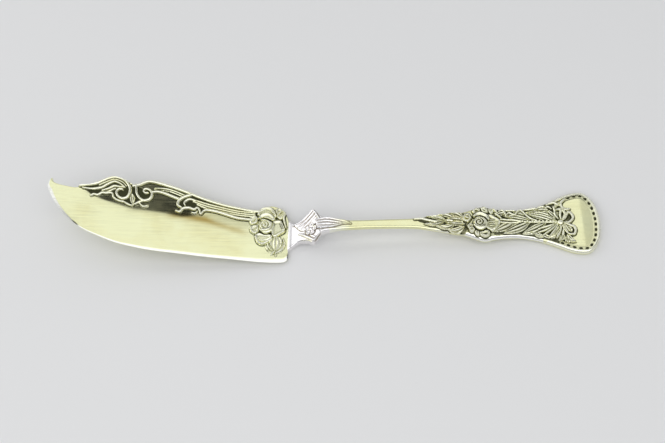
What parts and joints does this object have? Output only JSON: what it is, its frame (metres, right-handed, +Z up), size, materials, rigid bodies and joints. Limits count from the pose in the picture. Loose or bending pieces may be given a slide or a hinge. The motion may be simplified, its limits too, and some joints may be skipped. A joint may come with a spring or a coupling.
{
  "type": "butter knife",
  "caption": "Ornate silver butter knife with an upswept blade, a necked bolster and a fan-ended handle, dressed with cast roses, scrolls, reeds, fern leaves, a ribbon bow and a beaded border.",
  "frame": {"origin": "on the table, under the middle of the knife's bounding box as it lies", "axes": "+X along the knife towards the handle's end, +Y across towards the blade's back, +Z up from the table"},
  "size_m": [0.1802, 0.031, 0.0148],
  "materials": {
    "polished_silver": "polished silver with a faint warm tarnish",
    "pale_silver": "polished silver, whiter where the plating is fresh",
    "cast_silver": "cast silver relief, bright on the ridges and dark with tarnish in the recesses"
  },
  "bodies": {
    "root": {"blade": "polished_silver", "neck_bolster": "pale_silver", "handle": "polished_silver", "plume_scroll": "cast_silver", "spine_reeds": "cast_silver", "heel_rose": "cast_silver", "heel_leaf_bud": "cast_silver", "neck_leaf": "pale_silver", "shank_leaf_spray": "cast_silver", "grip_rose": "cast_silver", "grip_fern": "cast_silver", "ribbon_bow": "cast_silver", "bead_border": "cast_silver"}
  },
  "joints": []
}
